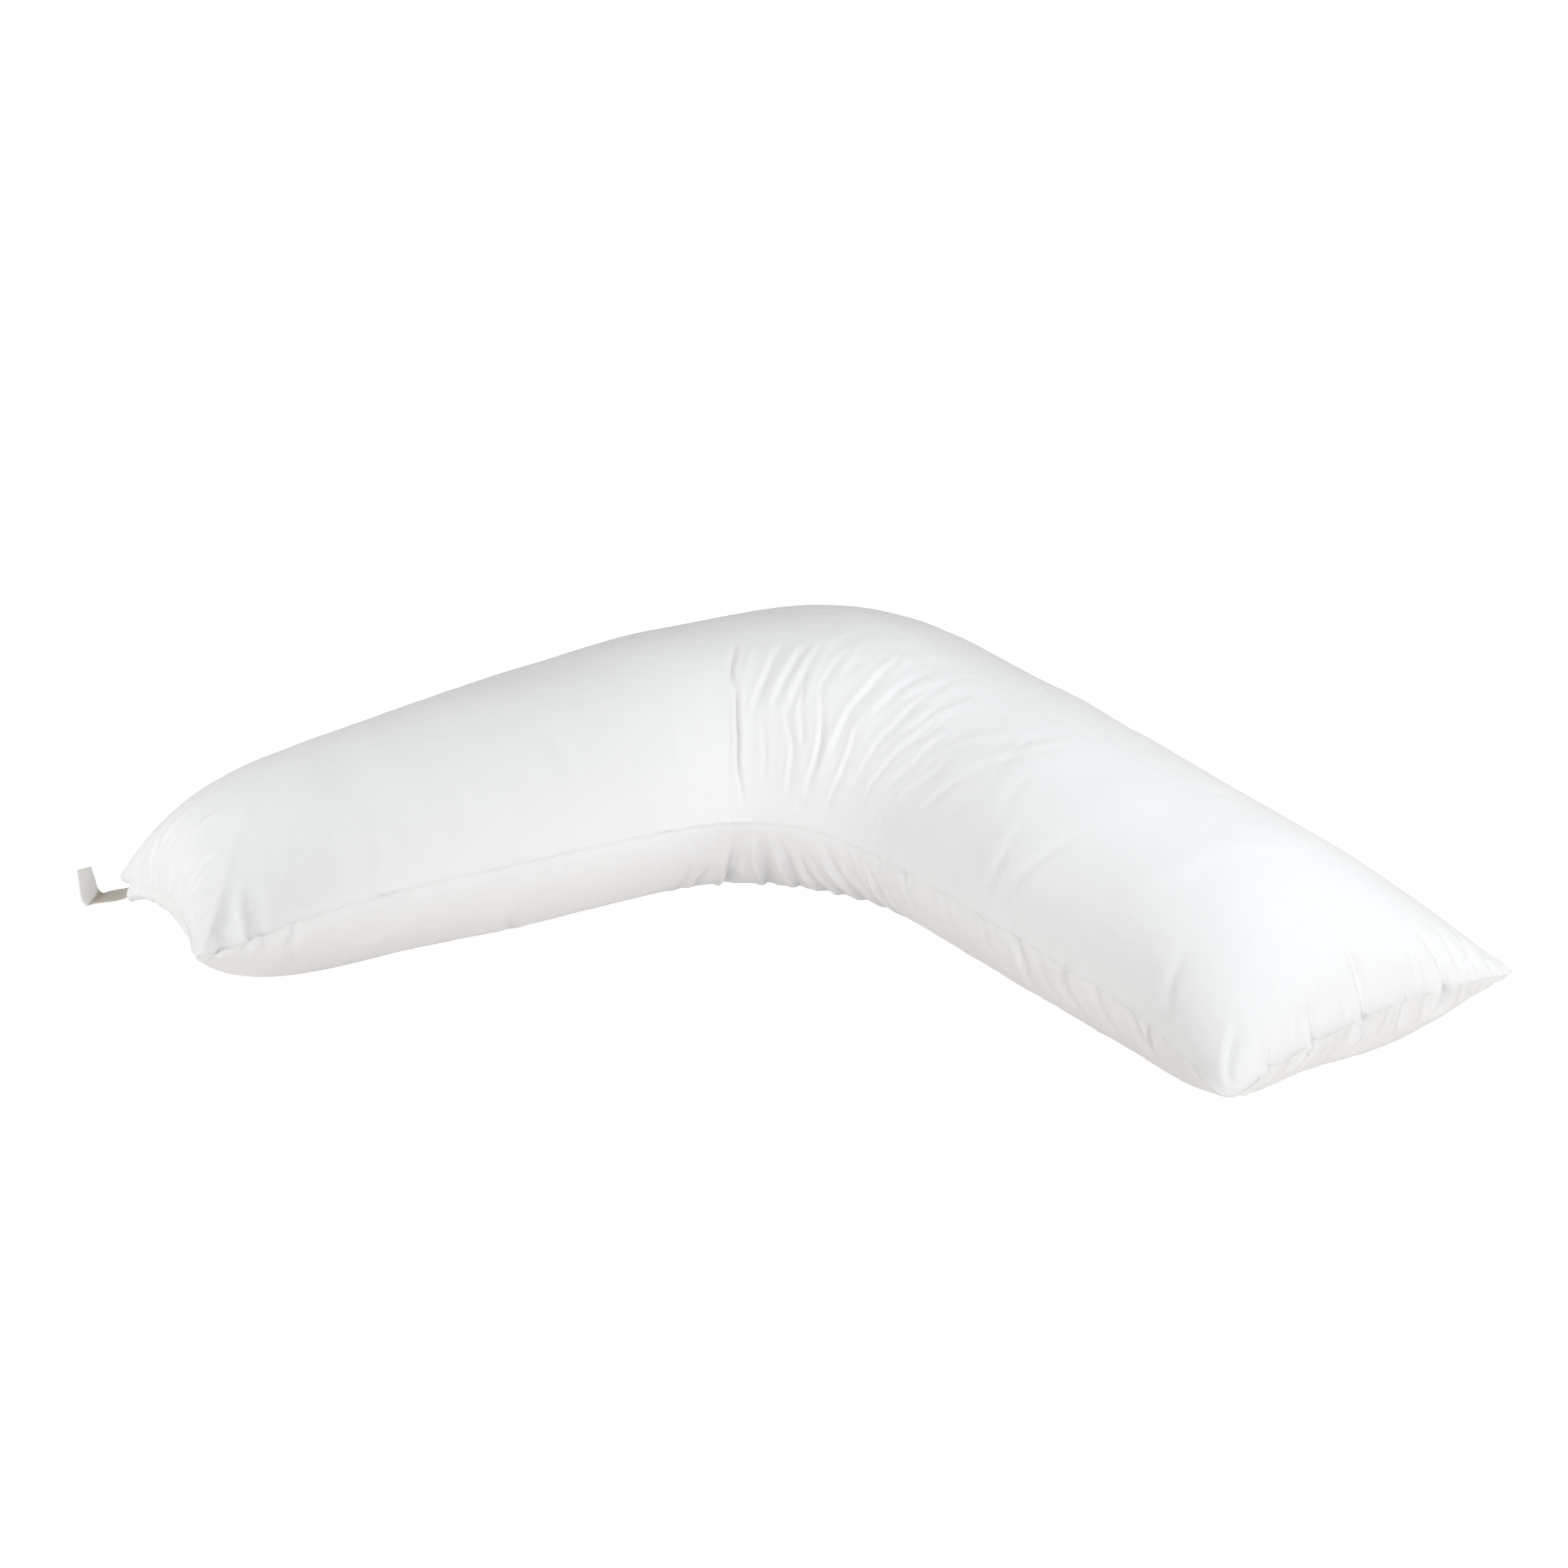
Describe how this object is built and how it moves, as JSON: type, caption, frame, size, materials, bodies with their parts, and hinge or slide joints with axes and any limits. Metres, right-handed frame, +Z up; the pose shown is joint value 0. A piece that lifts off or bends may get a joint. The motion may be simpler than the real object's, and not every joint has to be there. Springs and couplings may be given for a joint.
{
  "type": "v-shaped pillow",
  "caption": "Filled v-shaped bed pillow lying flat, panels joined by an edge seam, creased at the elbow, with a blank ribbon tab at one corner.",
  "frame": {"origin": "below the middle of the whole box, on the surface that the pillow lies on", "axes": "+X across the two arms, from the left tip to the right one, +Y towards the elbow, +Z up"},
  "size_m": [1.1577, 0.6376, 0.2161],
  "materials": {
    "cotton_cover": "plain woven white cotton, matt",
    "ribbon_tape": "plain off-white woven tape"
  },
  "bodies": {
    "root": {"pillow_body": "cotton_cover", "label_tab": "ribbon_tape"}
  },
  "joints": []
}
